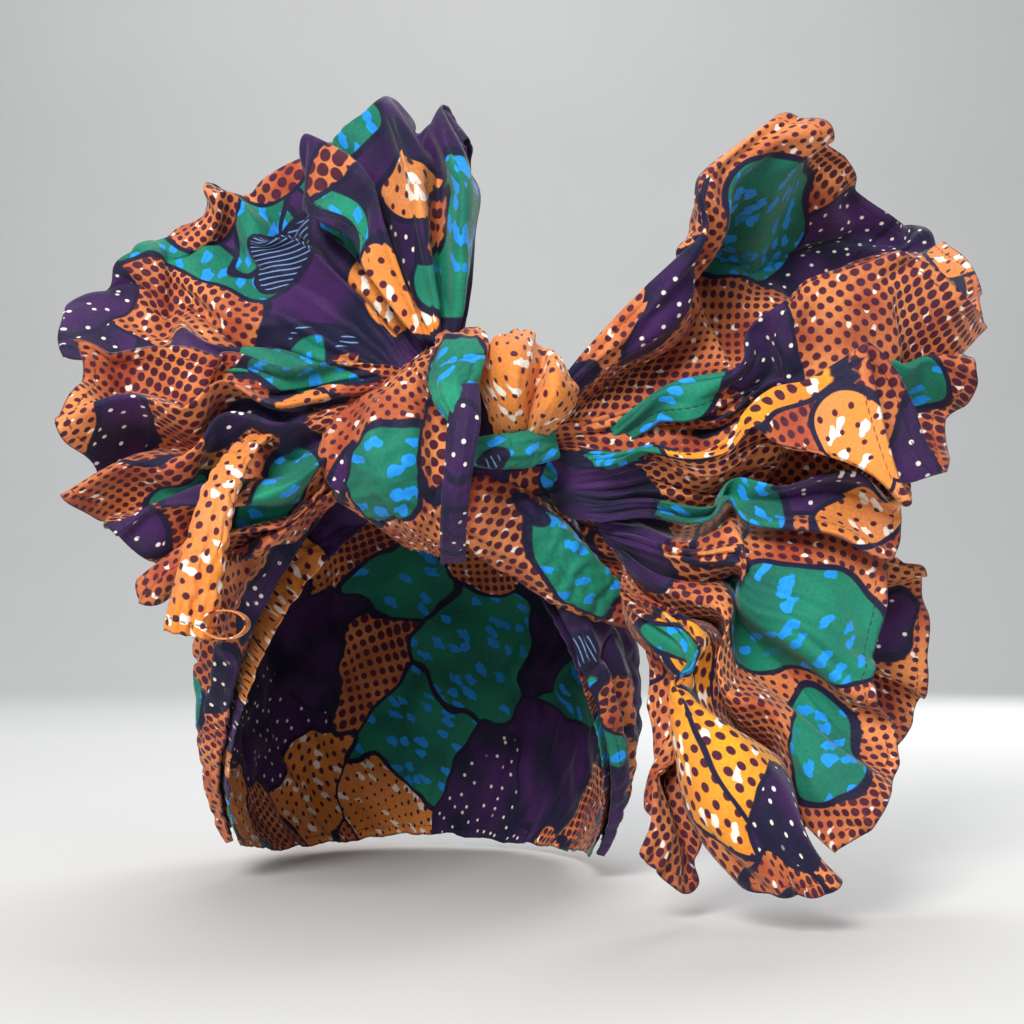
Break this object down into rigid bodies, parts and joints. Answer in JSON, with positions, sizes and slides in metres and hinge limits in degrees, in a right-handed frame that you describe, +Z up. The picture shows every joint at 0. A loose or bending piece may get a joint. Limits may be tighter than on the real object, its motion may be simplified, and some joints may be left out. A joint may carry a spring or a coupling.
{
  "type": "tied head wrap with a ruffled bow",
  "caption": "Soft printed cotton head wrap, pleated over the crown and tied above the brow in a wide ruffled bow with a round knot, open below and in front for the head.",
  "frame": {"origin": "middle of the head opening, level with the widest part of the face", "axes": "+Z up, -Y the way the face looks, +X to the right of someone who looks at the face"},
  "size_m": [0.3246, 0.2567, 0.2749],
  "materials": {
    "print_rust": "soft woven cotton, printed",
    "print_amber": "soft woven cotton, printed",
    "print_green": "soft woven cotton, printed",
    "print_purple": "soft woven cotton, printed",
    "print_navy": "soft woven cotton, printed"
  },
  "bodies": {
    "root": {"crown_wrap": "print_navy", "side_fold_left": "print_rust", "side_fold_right": "print_green", "brow_band": "print_rust", "knot_wrap": "print_rust", "knot_top_fold": "print_green", "knot_tail": "print_purple", "knot_back": "print_purple", "centre_tuft": "print_amber", "cross_roll": "print_green", "loop_upper_left": "print_green", "loop_top": "print_navy", "ruffle_lower_left": "print_rust", "hanging_fold_left": "print_amber", "loop_upper_right": "print_rust", "ruffle_mid_right": "print_purple", "ruffle_lower_right": "print_amber", "fold_back_right": "print_navy"}
  },
  "joints": []
}
